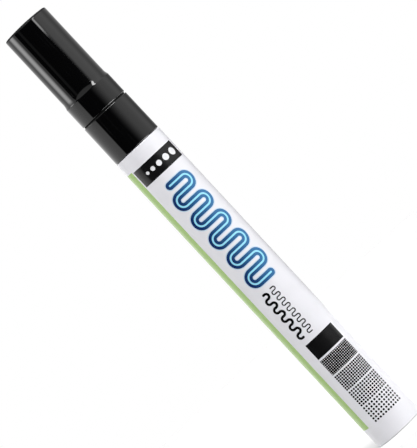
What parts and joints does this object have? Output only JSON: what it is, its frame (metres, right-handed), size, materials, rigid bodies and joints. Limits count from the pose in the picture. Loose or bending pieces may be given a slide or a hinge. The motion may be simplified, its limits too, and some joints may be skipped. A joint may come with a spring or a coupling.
{
  "type": "paint marker",
  "caption": "Slim round paint marker with a push-on cap, a bullet nib that opens a spring-loaded valve when pressed, and mixing balls in a closed metal barrel.",
  "frame": {"origin": "middle of the underside of the barrel's base", "axes": "+Z along the marker from the base to the cap, with the printed front of the barrel towards -Y"},
  "size_m": [0.0144, 0.0144, 0.14],
  "materials": {
    "barrel_lacquer": "white gloss lacquer with print",
    "black_plastic": "gloss moulded",
    "valve_plastic": "natural moulded",
    "liner_plastic": "soft natural moulded",
    "nib_fibre": "bonded fibre",
    "spring_steel": "drawn wire",
    "ball_steel": "polished"
  },
  "bodies": {
    "barrel_unit": {"barrel": "barrel_lacquer", "front_holder": "black_plastic", "valve_body": "valve_plastic", "valve_retainer": "valve_plastic", "valve_spring": "spring_steel"},
    "cap": {"cap_shell": "black_plastic", "inner_cap": "liner_plastic"},
    "nib_unit": {"nib": "nib_fibre", "valve_plunger": "valve_plastic"},
    "ball_1": {"mixing_ball_1": "ball_steel"},
    "ball_2": {"mixing_ball_2": "ball_steel"}
  },
  "joints": [
    {"name": "cap_pull", "type": "slide", "parent": "barrel_unit", "child": "cap", "axis": [0, 0, 1], "range_m": [0, 0.032]},
    {"name": "nib_press", "type": "slide", "parent": "barrel_unit", "child": "nib_unit", "axis": [0, 0, -1], "range_m": [0, 0.002], "stiffness_N_per_m": 500, "springref_m": -0.003, "deforming": ["valve_spring"]},
    {"name": "ball_1_roll", "type": "slide", "parent": "barrel_unit", "child": "ball_1", "axis": [0, 0, 1], "range_m": [0, 0.0746]},
    {"name": "ball_2_roll", "type": "slide", "parent": "barrel_unit", "child": "ball_2", "axis": [0, 0, 1], "range_m": [0, 0.0746]}
  ]
}
